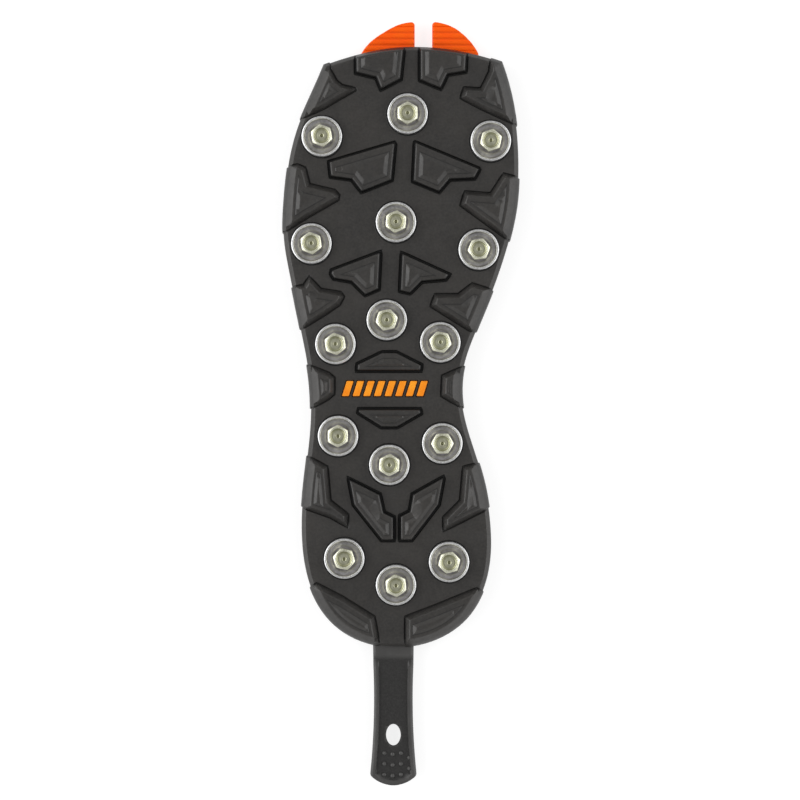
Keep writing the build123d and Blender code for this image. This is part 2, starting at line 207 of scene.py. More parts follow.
def inset(loop, amounts):
    """The loop's corners with each edge moved inwards by its amount; edges that vanish are dropped."""
    count = len(loop)
    along = [(loop[(i + 1) % count] - loop[i]).normalized() for i in range(count)]
    inward = [Vector((-d.y, d.x)) for d in along]

    def meet(a, b, share=1.0):
        on_a = loop[a] + inward[a] * amounts[a] * share
        on_b = loop[b] + inward[b] * amounts[b] * share
        end_of_a = loop[(a + 1) % count] + inward[a] * amounts[a] * share
        between = (end_of_a + on_b) / 2
        slant = along[a].cross(along[b])
        if abs(slant) < 1e-3:
            return between
        met = on_a + along[a] * ((on_b - on_a).cross(along[b]) / slant)
        return met if (met - between).length < FARTHEST_MEET else between

    def length(k, share):
        a, e, b = live[k - 1], live[k], live[(k + 1) % len(live)]
        return (meet(e, b, share) - meet(a, e, share)).dot(along[e])

    live = list(range(count))
    while len(live) > 3:
        gone = [(k, length(k, 0.0), length(k, 1.0)) for k in range(len(live))]
        gone = [(full / (full - left), k) for k, full, left in gone if left < 0 and full - left > 1e-9]
        if not gone:
            break
        live.pop(min(gone)[1])
    corners = []
    for i in range(count):
        before = max([e for e in live if e < i] or live)
        after = min([e for e in live if e >= i] or live)
        corners.append(meet(before, after))
    return corners


def rounded(loop, sharp, radius):
    """The loop with an arc at each sharp corner, and which corner each of its points belongs to."""
    points = []
    owners = []
    for i, corner in enumerate(loop):
        if not sharp[i]:
            points.append(corner)
            owners.append(i)
            continue
        into = corner - loop[i - 1]
        out = loop[(i + 1) % len(loop)] - corner
        reach = 0.0
        if min(into.length, out.length) > 1e-4:
            reach = min(radius * math.tan(into.angle(out) / 2), into.length * 0.45, out.length * 0.45)
        start = corner - into.normalized() * reach
        end = corner + out.normalized() * reach
        for step in range(ARC_STEPS + 1):
            t = step / ARC_STEPS
            points.append(start * (1 - t) ** 2 + corner * (2 * t * (1 - t)) + end * t**2)
            owners.append(i)
    return points, owners


def edge_gaps(points, loop):
    """Distance of each point from each edge of the loop: a row for every point."""
    p = np.array(points, float).reshape(-1, 1, 2)
    a = np.array(loop, float).reshape(1, -1, 2)
    d = np.roll(a, -1, axis=1) - a
    t = np.clip(((p - a) * d).sum(2) / np.maximum((d * d).sum(2), 1e-12), 0, 1)
    return np.sqrt((((a + t[..., None] * d) - p) ** 2).sum(2))


def inside(points, loop):
    p = np.array(points, float).reshape(-1, 1, 2)
    a = np.array(loop, float).reshape(1, -1, 2)
    b = np.roll(a, -1, axis=1)
    crossing = (a[..., 1] > p[..., 1]) != (b[..., 1] > p[..., 1])
    rise = b[..., 1] - a[..., 1]
    rise = np.where(np.abs(rise) < 1e-12, 1e-12, rise)
    x = a[..., 0] + (p[..., 1] - a[..., 1]) / rise * (b - a)[..., 0]
    return (crossing & (p[..., 0] < x)).sum(1) % 2 == 1


def distances(points, loop):
    """Distance of each point from the loop, negative inside it."""
    gap = edge_gaps(points, loop).min(1)
    return np.where(inside(points, loop), -gap, gap)


# Mesh building ----------------------------------------------------------------------------------


class Shell:
    """A mesh in the making. Each vertex carries how much painted shade it has, from 0 to 1, which stands for
    how deep it sits in a recess.
    """

    def __init__(self, start=None):
        self.bm = bmesh.new()
        if start:
            self.bm.from_mesh(start)
        floats = self.bm.verts.layers.float
        self.painted_shade = floats.get("painted_shade") or floats.new("painted_shade")

    def spot(self, x, y, z, painted_shade=0.0):
        vert = self.bm.verts.new((x * MM, y * MM, z * MM))
        vert[self.painted_shade] = painted_shade
        return vert

    def ring(self, points, heights, painted_shade=0.0):
        if not hasattr(heights, "__len__"):
            heights = [heights] * len(points)
        return [self.spot(p[0], p[1], z, painted_shade) for p, z in zip(points, heights)]

    def bridge(self, low, high):
        """Quads between two anticlockwise rings, facing outwards when high is above low."""
        count = len(low)
        for i in range(count):
            j = (i + 1) % count
            self.bm.faces.new((low[i], low[j], high[j], high[i]))

    def cap(self, ring, up=True):
        self.bm.faces.new(ring if up else ring[::-1])

    def fill(self, rings, keep, up=True, height=None):
        """Triangles through closed rings, wherever keep says so; height gives crossings their z."""
        edges = []
        first = 0
        for ring in rings:
            size = len(ring)
            edges += [(first + i, first + (i + 1) % size) for i in range(size)]
            first += size
        return self.fill_lines([v for ring in rings for v in ring], edges, keep, up, height)

    def fill_lines(self, verts, edges, keep, up=True, height=None):
        points = [Vector((v.co.x, v.co.y)) / MM for v in verts]
        made, _, faces, sources, _, _ = delaunay_2d_cdt(points, edges, [], 0, 1e-4)
        corners = [verts[source[0]] if source else None for source in sources]
        new = [i for i, corner in enumerate(corners) if corner is None]
        if new:
            heights, painted_shades = height([made[i] for i in new])
            for i, z, painted_shade in zip(new, heights, painted_shades):
                corners[i] = self.spot(made[i].x, made[i].y, z, painted_shade)
        middles = [sum((made[i] for i in face), Vector((0, 0))) / len(face) for face in faces]
        built = []
        for face, wanted in zip(faces, keep(middles)):
            if wanted:
                face = [corners[i] for i in face]
                built.append(self.bm.faces.new(face if up else face[::-1]))
        return built

    def open_edge(self, faces):
        """The vertices round the one open edge of these faces, with the faces on the left."""
        onward = {}
        for face in faces:
            for loop in face.loops:
                if len(loop.edge.link_faces) == 1:
                    onward[loop.vert] = loop.link_loop_next.vert
        first = next(iter(onward))
        ring = [first]
        while onward[ring[-1]] is not first:
            ring.append(onward[ring[-1]])
        return ring

    def skirt(self, ring, profile):
        """Rings below an anticlockwise one, each moved out by its distance, down to its height."""
        points = [Vector((v.co.x, v.co.y)) / MM for v in ring]
        count = len(points)
        along = [(points[(i + 1) % count] - points[i]).normalized() for i in range(count)]
        outward = [Vector((d.y, -d.x)) for d in along]
        mitre = []
        for i in range(count):
            both = outward[i - 1] + outward[i]
            mitre.append(both / (1 + outward[i - 1].dot(outward[i])))
        for out, z in profile:
            below = self.ring([p + m * out for p, m in zip(points, mitre)], z)
            self.bridge(below, ring)
            ring = below
        return ring

    def lathe(self, profile, x=0.0, y=0.0, steps=48):
        """A turned solid round a vertical axis, from the radius, height and recess of its section."""
        rings = []
        for radius, z, painted_shade in profile:
            if radius < 1e-6:
                rings.append([self.spot(x, y, z, painted_shade)])
            else:
                rings.append(self.ring(circle(Vector((x, y)), radius, steps), z, painted_shade))
        for low, high in zip(rings, rings[1:]):
            self.join(low, high)
        return rings

    def join(self, low, high):
        count = max(len(low), len(high))
        for i in range(count):
            j = (i + 1) % count
            quad = [low[i % len(low)], low[j % len(low)], high[j % len(high)], high[i % len(high)]]
            corners = list(dict.fromkeys(quad))
            if len(corners) > 2:
                self.bm.faces.new(corners)

    def mesh(self, name, sharp=30.0):
        bm = self.bm
        bmesh.ops.remove_doubles(bm, verts=bm.verts, dist=WELD * MM)
        bmesh.ops.delete(bm, geom=[v for v in bm.verts if not v.link_faces], context="VERTS")
        bmesh.ops.dissolve_degenerate(bm, edges=bm.edges, dist=WELD * MM)
        for face in bm.faces:
            face.material_index = 0
        many = [f for f in bm.faces if len(f.verts) > 4]
        bmesh.ops.triangulate(bm, faces=many, quad_method="BEAUTY", ngon_method="EAR_CLIP")
        mesh = bpy.data.meshes.new(name)
        bm.to_mesh(mesh)
        bm.free()
        mesh.shade_smooth()
        mesh.set_sharp_from_angle(angle=math.radians(sharp))
        return mesh


def placed(name, data):
    obj = bpy.data.objects.new(name, data)
    bpy.context.scene.collection.objects.link(obj)
    return obj


def subtract(obj, cutter):
    """The object's mesh with the cutter mesh taken out of it; the object is removed."""
    tool = placed("cutter", cutter)
    cut = obj.modifiers.new("cut", "BOOLEAN")
    cut.operation = "DIFFERENCE"
    cut.object = tool
    cut.solver = "EXACT"
    made = bpy.data.meshes.new_from_object(obj.evaluated_get(bpy.context.evaluated_depsgraph_get()))
    bpy.data.objects.remove(tool)
    bpy.data.objects.remove(obj)
    return made


def piece(name, mesh, slot, finish, *replaced):
    obj = placed(name, mesh)
    mesh.materials.clear()
    mesh.materials.append(finish)
    even = obj.modifiers.new("even_shading", "WEIGHTED_NORMAL")
    even.keep_sharp = True
    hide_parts(*replaced)
    return obj


# Materials --------------------------------------------------------------------------------------


class Finish:
    """A procedural material: short calls add nodes to its tree."""

    def __init__(self, name, **settings):
        self.material = bpy.data.materials.new(name)
        self.material.use_nodes = True
        self.tree = self.material.node_tree
        self.shader = self.tree.nodes["Principled BSDF"]
        for key, value in settings.items():
            self.shader.inputs[key.replace("_", " ")].default_value = value
        self.place = self.add("TexCoord").outputs["Object"]

    def add(self, kind, settings=(), **inputs):
        node = self.tree.nodes.new("ShaderNode" + kind)
        for key, value in dict(settings).items():
            setattr(node, key, value)
        for key, value in inputs.items():
            key = key.replace("_", " ")
            socket = node.inputs[int(key[1:])] if key[:1] == "i" and key[1:].isdigit() else node.inputs[key]
            if isinstance(value, bpy.types.NodeSocket):
                self.tree.links.new(value, socket)
            else:
                socket.default_value = value
        return node

    def link(self, value, name):
        self.tree.links.new(value, self.shader.inputs[name])

    def noise(self, size, detail=3.0, stretch=(1, 1, 1)):
        """Noise with features of about that size in metres."""
        place = self.place
        if stretch != (1, 1, 1):
            place = self.add("Mapping", Vector=place, Scale=stretch).outputs["Vector"]
        node = self.add("TexNoise", Vector=place, Scale=1 / size, Detail=detail)
        return node.outputs["Fac"]

    def spread(self, value, low, high, to_low=0.0, to_high=1.0):
        node = self.add("MapRange", Value=value, From_Min=low, From_Max=high, To_Min=to_low, To_Max=to_high)
        return node.outputs["Result"]

    def mix(self, share, a, b):
        node = self.add("Mix", {"data_type": "RGBA"})
        for value, socket in ((share, node.inputs[0]), (a, node.inputs[6]), (b, node.inputs[7])):
            if isinstance(value, bpy.types.NodeSocket):
                self.tree.links.new(value, socket)
            else:
                socket.default_value = value
        return node.outputs[2]

    def maths(self, kind, a, b):
        return self.add("Math", {"operation": kind}, i0=a, i1=b).outputs[0]

    def attribute(self, name):
        return self.add("Attribute", {"attribute_name": name}).outputs["Fac"]

    def bump(self, height, strength, distance, before=None):
        node = self.add("Bump", Height=height, Strength=strength, Distance=distance)
        if before is not None:
            self.tree.links.new(before, node.inputs["Normal"])
        return node.outputs["Normal"]


def grey(value, warm=0.0):
    return (value * (1 + warm), value, value * (1 - warm), 1.0)


def rubber():
    f = Finish("black_rubber", Specular_IOR_Level=0.5)
    broad = f.spread(f.noise(0.02, 4.0), 0.3, 0.7)
    fine = f.spread(f.noise(0.0012, 3.0), 0.35, 0.65)
    base = f.mix(broad, grey(0.019, 0.05), grey(0.026, 0.09))
    base = f.mix(f.maths("MULTIPLY", fine, 0.35), base, grey(0.045, 0.1))
    # Painted shade: near black in the grooves, seat rings, block walls and at the foot of the tiers, as far
    # as the vertices' painted shade attribute goes
    base = f.mix(f.attribute("painted_shade"), base, grey(0.003))
    f.link(base, "Base Color")
    f.link(f.spread(f.noise(0.004, 4.0), 0.3, 0.7, 0.36, 0.5), "Roughness")
    grain = f.bump(f.noise(0.0006, 2.0), 0.2, 0.00012)
    f.link(f.bump(f.noise(0.006, 3.0), 0.2, 0.0004, grain), "Normal")
    return f.material


def strap_rubber():
    f = Finish("black_strap", Specular_IOR_Level=0.5)
    broad = f.spread(f.noise(0.012, 3.0), 0.3, 0.7)
    speckle = f.spread(f.noise(0.0009, 2.0), 0.4, 0.7)
    # Lit and shaded copies of one rubber: the raised rim and boss are painted lighter as painted highlight,
    # the web below them takes the darker, speckled colour as painted shade
    lit_raised = f.mix(broad, grey(0.042, 0.03), grey(0.058, 0.03))
    low = f.mix(speckle, grey(0.015, 0.04), grey(0.024, 0.04))
    f.link(f.mix(f.attribute("painted_shade"), lit_raised, low), "Base Color")
    f.link(f.spread(f.noise(0.002, 3.0), 0.3, 0.7, 0.36, 0.5), "Roughness")
    f.link(f.bump(f.noise(0.0008, 2.0), 0.25, 0.00015), "Normal")
    return f.material


def orange_plastic(name, light, deep):
    f = Finish(name, Specular_IOR_Level=0.2)
    base = f.mix(f.spread(f.noise(0.008, 3.0), 0.3, 0.7), deep, light)
    # Painted shade: a darker orange in the rib grooves and along the rounded edges of the tabs, where the
    # painted shade attribute is high
    shade = f.spread(f.attribute("painted_shade"), 0.1, 0.5)
    painted_shade_orange = tuple(0.72 * c for c in deep[:3]) + (1.0,)
    f.link(f.mix(shade, base, painted_shade_orange), "Base Color")
    f.link(f.spread(f.noise(0.001, 3.0), 0.3, 0.7, 0.36, 0.5), "Roughness")
    f.link(f.bump(f.noise(0.0005, 2.0), 0.15, 0.0001), "Normal")
    return f.material


def metal(name, dark, light, low, rough_low, rough_high, grain):
    """A worn metal: dark to light in patches, and in its recesses the low colour, which is painted shade (on
    the discs also their duller dish).
    """
    f = Finish(name, Metallic=1.0)
    scratch = f.spread(f.noise(grain, 5.0), 0.35, 0.65)
    patches = f.spread(f.noise(grain * 5, 4.0), 0.4, 0.65)
    base = f.mix(scratch, dark, light)
    # deep is the painted shade colour, a little lighter in patches
    deep = f.mix(patches, low, tuple(1.6 * c for c in low[:3]) + (1.0,))
    f.link(f.mix(f.attribute("painted_shade"), base, deep), "Base Color")
    f.link(f.spread(f.noise(grain * 2, 3.0), 0.3, 0.7, rough_low, rough_high), "Roughness")
    f.link(f.bump(f.noise(grain, 4.0), 0.25, 0.00008), "Normal")
    return f.material


def nylon():
    f = Finish("black_nylon", Specular_IOR_Level=0.45)
    base = f.mix(f.spread(f.noise(0.01, 3.0), 0.3, 0.7), grey(0.02), grey(0.03))
    f.link(base, "Base Color")
    f.link(f.spread(f.noise(0.001, 3.0), 0.3, 0.7, 0.4, 0.6), "Roughness")
    f.link(f.bump(f.noise(0.0005, 2.0), 0.3, 0.0001), "Normal")
    return f.material


# The rubber -------------------------------------------------------------------------------------


def disc_centres():
    centres = []
    for node in sorted(NODES):
        if node.startswith("traction_disc"):
            low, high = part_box(node)
            centres.append(Vector(((low.x + high.x) / 2 / MM, (low.y + high.y) / 2 / MM)))
    return centres


def circle(centre, radius, steps=48):
    angles = [2 * math.pi * i / steps for i in range(steps)]
    return [centre + Vector((math.cos(a), math.sin(a))) * radius for a in angles]


class Tread:
    """The land between the blocks: each feature lowers it, and the lowest one wins."""

    def __init__(self, outline):
        self.outline = outline
        self.grooves = []
        self.seats = disc_centres()
        # Painted shade of each feature: none at the edge of the land, full in the seat rings round the
        # discs, where a shadow falls
        self.dark = [0.0] + [1.0] * len(self.seats)
        self.rings = []

    # dark is how much painted shade the groove gets
    def add_groove(self, loop, profile, dark):
        self.grooves.append((loop, profile))
        self.dark.append(dark)

    def heights(self, points):
        """Height at each point for each feature: the edge, the seats, then the grooves."""
        table = [np.interp(-distances(points, self.outline), *zip(*BEVEL))]
        spots = np.array(points, float).reshape(-1, 2)
        for centre in self.seats:
            away = np.hypot(*(spots - np.array(centre)).T)
            table.append(np.interp(away, *zip(*SEAT_LIP)))
        for loop, profile in self.grooves:
            table.append(np.interp(distances(points, loop), *zip(*profile)))
        return np.array(table)

    def lowest(self, points):
        table = self.heights(points)
        return table.min(0), self.depth(table)

    def depth(self, table):
        # Painted shade where a feature lowers the land: that of the feature which lowers it most
        return np.where(table.min(0) < LAND - 0.15, np.array(self.dark)[table.argmin(0)], 0.0)

    def ring(self, loop, own, z):
        self.rings.append((loop, own, z))

    def build(self, shell):
        for inward, z in BEVEL:
            self.ring(inset(self.outline, [inward] * len(self.outline)), 0, z)
        for k, centre in enumerate(self.seats):
            for radius, z in SEAT_LIP:
                self.ring(circle(centre, radius), 1 + k, z)
        for k, (loop, profile) in enumerate(self.grooves):
            sharp = [turn(loop, i) > SHARP_TURN for i in range(len(loop))]
            for out, z in profile:
                wide = inset(loop, [-out] * len(loop))
                self.ring(rounded(wide, sharp, out)[0], 1 + len(self.seats) + k, z)
        rings = []
        for loop, own, z in self.rings:
            table = self.heights(loop)
            table[own] = z
            low = table.min(0)
            # deep is the painted shade at each point of the ring
            deep = self.depth(table)
            rings.append([shell.spot(p[0], p[1], h, d) for p, h, d in zip(loop, low, deep)])
        return shell.fill(rings, lambda spots: inside(spots, self.outline), height=self.lowest)


# Blocks, from the foot to the top: height, distance in on sides that face the land, distance in on
# sides that face out of the outline, and how much painted shade the wall carries there, for how deep it sits
# in a recess
CENTRE_BLOCK = [
    (9.2, 0.0, 0.0, 1.0),
    (11.2, 0.1, 0.1, 1.0),
    (12.9, 0.6, 0.6, 1.0),
    (13.3, 0.85, 0.85, 0.4),
    (13.6, 1.2, 1.2, 0.0),
    (LEDGE, 1.6, 1.6, 0.0),
]
EDGE_BLOCK = [
    (7.6, 0.0, 0.0, 0.2),
    (9.0, 0.04, 0.5, 0.4),
    (10.6, 0.12, 1.6, 0.5),
    (11.1, 0.3, 2.1, 0.2),
    (13.1, 1.7, 4.4, 0.0),
    (13.55, 2.1, 5.0, 0.0),
    (LEDGE, 2.5, 5.4, 0.0),
]
HEEL_BLOCK = [
    (7.6, 0.0, 0.0, 0.1),
    (9.0, 0.05, 0.6, 0.3),
    (10.6, 0.2, 1.8, 0.3),
    (11.1, 0.4, 2.3, 0.1),
    (13.1, 1.8, 4.1, 0.0),
    (13.55, 2.2, 4.6, 0.0),
    (LEDGE, 2.6, 5.0, 0.0),
]
TOE_BLOCK = [
    (7.7, 0.0, 0.75, 0.2),
    (9.0, 0.04, 1.05, 0.9),
    (11.0, 0.15, 1.7, 0.9),
    (12.9, 0.6, 2.4, 0.8),
    (13.4, 1.0, 2.9, 0.3),
    (LEDGE, 1.6, 3.4, 0.0),
]
# The raised middle of a block: height, distance further in than the last step of its wall, painted shade (a
# painted dark line at the tier's foot)
TIER = [
    (LEDGE + 0.01, 0.9, 0.0),
    (LEDGE + 0.02, 1.2, 0.8),
    (LEDGE + 0.12, 1.45, 0.5),
    (14.1, 1.8, 0.0),
    (14.85, 3.1, 0.0),
    (14.96, 3.4, 0.0),
    (LUG_TOP, 3.8, 0.0),
]
# Sides that face the toe carry their tier this much further in, at full width
TIER_FORWARD = 1.4
# A block with this much room in it, its outer slope left out, takes its tier at full width
ROOMY = 7.5
OUTER_SLOPE = 3.0
# The share of that width on the outer side of an open tier, which runs out over the edge
OPEN_SHARE = 0.15
BLOCK_CORNER = 0.7
# A ring is cut into pieces no longer than this, so that its triangles stay compact
LONGEST_SIDE = 2.5


class Block:
    """One tread block: level rings from its foot to its top, each cleaned of its own crossings."""

    def __init__(self, loop, outline, wall, open_tier=False):
        count = len(loop)
        self.loop = loop
        self.sharp = [turn(loop, i) > SHARP_TURN for i in range(count)]
        middles = [(loop[i] + loop[(i + 1) % count]) / 2 for i in range(count)]
        outer = distances(middles, outline) > SIDE_REACH
        along = [(loop[(i + 1) % count] - loop[i]).normalized() for i in range(count)]
        fit = min(1.0, self.room(outer) / ROOMY)
        self.levels = []
        for z, land, edge, painted_shade in wall:
            self.levels.append((z, [edge if out else land for out in outer], painted_shade))
        last = self.levels[-1][1]
        for z, more, painted_shade in TIER:
            amounts = []
            for out, so_far, d in zip(outer, last, along):
                share = OPEN_SHARE if out and open_tier else fit
                forward = 0.0 if out else TIER_FORWARD * max(0.0, -d.x)
                amounts.append(so_far + (more + forward) * share)
            self.levels.append((z, amounts, painted_shade))

    def room(self, outer):
        """How far inside the block a place can be from all of its sides, its outer slope left out."""
        spots = [
            Vector((x, y))
            for x in np.arange(min(p.x for p in self.loop), max(p.x for p in self.loop), 1.0)
            for y in np.arange(min(p.y for p in self.loop), max(p.y for p in self.loop), 1.0)
        ]
        gaps = edge_gaps(spots, self.loop) - np.where(outer, OUTER_SLOPE, 0.0)
        return float(np.where(inside(spots, self.loop), gaps.min(1), 0.0).max())

    def height(self, spots):
        """Height and painted shade at each place: the side that keeps it lowest decides."""
        gaps = edge_gaps(spots, self.loop)
        heights = [level[0] for level in self.levels]
        painted_shades = [level[2] for level in self.levels]
        table = np.array([
            np.interp(gaps[:, i], [level[1][i] for level in self.levels], heights)
            for i in range(gaps.shape[1])
        ])
        low = table.min(0)
        return low, np.interp(low, heights, painted_shades)

    def contour(self, amounts):
        """The parts of one ring that keep their distance from every side, in short pieces."""
        ring = rounded(inset(self.loop, amounts), self.sharp, BLOCK_CORNER)[0]
        around = [(i, (i + 1) % len(ring)) for i in range(len(ring))]
        made, edges, _, _, sources, _ = delaunay_2d_cdt(ring, around, [], 0, 1e-4)
        edges = [edge for edge, source in zip(edges, sources) if source]
        middles = [(made[a] + made[b]) / 2 for a, b in edges]
        if not middles:
            return []
        slack = min(0.05, min(amounts) / 2)
        clear = (edge_gaps(middles, self.loop) >= np.array(amounts) - slack).all(1)
        pieces = []
        for (a, b), good in zip(edges, clear & inside(middles, self.loop)):
            if good:
                count = max(1, math.ceil((made[b] - made[a]).length / LONGEST_SIDE))
                steps = [made[a].lerp(made[b], k / count) for k in range(count + 1)]
                pieces += zip(steps, steps[1:])
        return pieces

    def build(self, shell, root):
        foot = rounded(inset(self.loop, self.levels[0][1]), self.sharp, BLOCK_CORNER)[0]
        verts = shell.ring(foot, self.levels[0][0], self.levels[0][2])
        edges = [(i, (i + 1) % len(foot)) for i in range(len(foot))]
        for z, amounts, painted_shade in self.levels[1:]:
            known = {}
            for ends in self.contour(amounts):
                for spot in ends:
                    key = (round(spot.x, 3), round(spot.y, 3))
                    if key not in known:
                        known[key] = len(verts)
                        verts.append(shell.spot(spot.x, spot.y, z, painted_shade))
                edge = [known[(round(spot.x, 3), round(spot.y, 3))] for spot in ends]
                if edge[0] != edge[1]:
                    edges.append(tuple(edge))
        top = shell.fill_lines(verts, edges, lambda spots: inside(spots, foot), height=self.height)
        ring = shell.open_edge(top)
        low = shell.ring([(v.co.x / MM, v.co.y / MM) for v in ring], root)
        shell.bridge(low, ring)
        shell.cap(low, up=False)


def build_rubber(finish):
    outline, pocket = flat_loops("outsole", 0.0, up=False)[:2]
    outline = resampled(outline, OUTLINE_SPACING)
    pocket = resampled(pocket, POCKET_SPACING)
    blocks = [without_straight_points(loop) for loop in flat_loops("outsole", LUG_TOP, up=True)]
    bars = flat_loops("arch_badge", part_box("arch_badge")[1].z / MM, up=True)
    tread = Tread(outline)
    edge = [max(distances(block, outline)) > EDGE_REACH for block in blocks]
    for block, at_edge in zip(blocks, edge):
        if not at_edge:
            tread.add_groove(block, CENTRE_GROOVE, CENTRE_SHADE)
        elif is_toe_block(block):
            tread.add_groove(block, CENTRE_GROOVE, TOE_SHADE)
        else:
            tread.add_groove(block, EDGE_GROOVE, EDGE_SHADE)
    for bar in bars:
        tread.add_groove(bar, BADGE_GROOVE, CENTRE_SHADE)

    shell = Shell()
    top = tread.build(shell)
    foot = shell.skirt(shell.open_edge(top), SIDE_WALL)
    mouth = shell.ring(pocket, 0.0)
    ceiling = shell.ring(pocket, POCKET_TOP)
    sole = [Vector((v.co.x, v.co.y)) / MM for v in foot]
    shell.fill([foot, mouth], lambda spots: ~inside(spots, pocket) & inside(spots, sole), up=False)
    shell.bridge(ceiling, mouth)
    shell.fill([ceiling], lambda spots: inside(spots, pocket), up=False)
    base = placed("outsole_base", shell.mesh("outsole_base"))
    low, high = prong_mouth()
    shell = Shell(cut_box(base, low, high))
    for block, at_edge in zip(blocks, edge):
        if not at_edge:
            Block(block, outline, CENTRE_BLOCK).build(shell, CENTRE_ROOT)
        elif is_toe_block(block):
            Block(block, outline, TOE_BLOCK, open_tier=True).build(shell, high.z)
        elif middle_of(block).y < HEEL_FROM:
            Block(block, outline, HEEL_BLOCK).build(shell, LUG_ROOT)
        else:
            Block(block, outline, EDGE_BLOCK).build(shell, LUG_ROOT)
    obj = piece("outsole_rubber", shell.mesh("outsole_rubber"), "rubber_black", finish, "outsole")
    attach(obj, "sole")


def middle_of(loop):
    return sum(loop, Vector((0, 0))) / len(loop)


def is_toe_block(loop):
    """Whether a block stands over the slot that the prongs come out of."""
    low, high = prong_mouth()
    middle = middle_of(loop)
    return middle.y > TOE_FROM and low.x < middle.x < high.x


def prong_mouth():
    """The slot in the toe wall that the prongs come out of, a little wider than them, in mm."""
    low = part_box("toe_prong_outer")[0] / MM
    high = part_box("toe_prong_inner")[1] / MM
    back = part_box("toe_clip_base")[1].y / MM - MOUTH_BACK
    low = Vector((low.x - MOUTH_SIDE, back, low.z - MOUTH_OVER))
    high = Vector((high.x + MOUTH_SIDE, high.y, high.z + MOUTH_OVER))
    return low, high


def cut_box(obj, low, high):
    """The object's mesh with a box, in mm, taken out of it."""
    corners = [(x, y, z) for x in (low.x, high.x) for y in (low.y, high.y) for z in (low.z, high.z)]
    cutter = bpy.data.meshes.new("cutter")
    bm = bmesh.new()
    verts = [bm.verts.new(Vector(c) * MM) for c in corners]
    bmesh.ops.convex_hull(bm, input=verts)
    bm.to_mesh(cutter)
    bm.free()
    return subtract(obj, cutter)


# Badge ------------------------------------------------------------------------------------------

# Distance in from the side of a bar, and height
BAR_RINGS = [(0.0, 10.0), (0.0, 11.1), (0.1, 11.3), (0.3, 11.4)]
BAR_CORNER = 0.4


def build_badge(finish):
    shell = Shell()
    for bar in flat_loops("arch_badge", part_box("arch_badge")[1].z / MM, up=True):
        sharp = [True] * len(bar)
        rings = []
        for inward, z in BAR_RINGS:
            points, _ = rounded(inset(bar, [inward] * len(bar)), sharp, BAR_CORNER)
            rings.append(shell.ring(points, z))
        for low, high in zip(rings, rings[1:]):
            shell.bridge(low, high)
        shell.cap(rings[0], up=False)
        shell.cap(rings[-1])
    obj = piece("badge_bars", shell.mesh("badge_bars"), "badge_orange", finish, "arch_badge")
    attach(obj, "sole")


# Discs and screws -------------------------------------------------------------------------------

# Radius, height and painted shade, from the hole round the underside and back over the rim: the dish takes
# the darker colour, fully at the rim's foot and round the head
DISC_SECTION = [
    (2.7, 10.2, 0.5), (9.8, 10.2, 0.0), (10.15, 10.5, 0.0), (10.15, 13.2, 0.0), (10.08, 13.55, 0.0),
    (9.9, 13.82, 0.0), (9.6, 13.96, 0.0), (9.3, 14.0, 0.0), (9.0, 13.93, 0.0), (8.8, 13.75, 0.2),
    (8.65, 13.4, 0.8), (8.4, 13.15, 1.0), (7.9, 13.05, 0.8), (7.0, 12.85, 0.7), (6.4, 12.7, 0.8),
    (6.2, 12.55, 1.0), (5.9, 12.5, 1.0), (2.7, 12.5, 1.0), (2.7, 10.2, 0.5),
]
DISC_STEPS = 96
# Turn, in degrees, above which an edge of a turned or bent piece stays sharp
ROUND_EDGE = 40.0
# The head: its height, half its width across the flats and corners, and its cone at the top
HEAD_SEAT_DEPTH = 5.0
HEAD_SIDES = 6
HEAD_FLAT = 5.0
HEAD_CORNER = 5.68
HEAD_SLOPE = 1.5
HEAD_CROWN = 4.45
HEAD_STEPS = 72
# Below this depth its sides get a little painted shade
HEAD_SHADE_DEPTH = 1.0
HEAD_SIDE_SHADE = 0.15
# Depths below the top of the head where its outside has a ring
HEAD_DEPTHS = [1.6, 1.4, 1.1, 0.9, 0.75, 0.6, 0.45, 0.3, 0.15, 0.05]
# The dished top of the head: radius, depth and painted shade
HEAD_DISH = [
    (4.25, 0.0, 0.0), (4.05, 0.03, 0.0), (3.85, 0.2, 0.1), (3.7, 0.6, 0.6), (3.45, 0.95, 0.9),
    (3.1, 1.15, 0.8), (2.6, 1.15, 0.6), (2.0, 1.0, 0.45), (1.4, 0.9, 0.4), (1.0, 0.95, 0.5),
    (0.75, 1.2, 1.0), (0.45, 1.55, 1.0), (0.0, 1.6, 1.0),
]
# The shank: the pitch of its ribs, how far up the first one starts, and one rib's radius and rise
SHANK_PITCH = 1.2
SHANK_TIP = 0.3
SHANK_RIB = [(2.0, 0.0), (2.4, 0.45), (2.4, 0.6), (2.0, 1.05)]


def build_discs(finish):
    for node in sorted(n for n in NODES if n.startswith("traction_disc")):
        low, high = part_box(node)
        shell = Shell()
        shell.lathe(DISC_SECTION, steps=DISC_STEPS)
        name = node.replace("traction_disc", "stud_plate")
        obj = piece(name, shell.mesh(name, ROUND_EDGE), "disc_aluminium", finish, node)
        obj.location = ((low.x + high.x) / 2, (low.y + high.y) / 2, 0)
        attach(obj, "sole")


def head_radius(angle, depth):
    """The hexagon with blunt corners, cut back towards the top by a cone."""
    flat = math.pi / HEAD_SIDES
    off_flat = (angle % (2 * flat)) - flat
    prism = min(HEAD_FLAT / math.cos(off_flat), HEAD_CORNER)
    return min(prism, HEAD_CROWN + depth * HEAD_SLOPE)


def head_turn(node, centre):
    """The angle of one corner of the CAD head, from its vertex that is furthest from the axis."""
    arms = [Vector((v.co.x - centre.x, v.co.y - centre.y)) for v in NODES[node].data.vertices]
    far = max(arms, key=lambda arm: arm.length)
    return math.atan2(far.y, far.x)


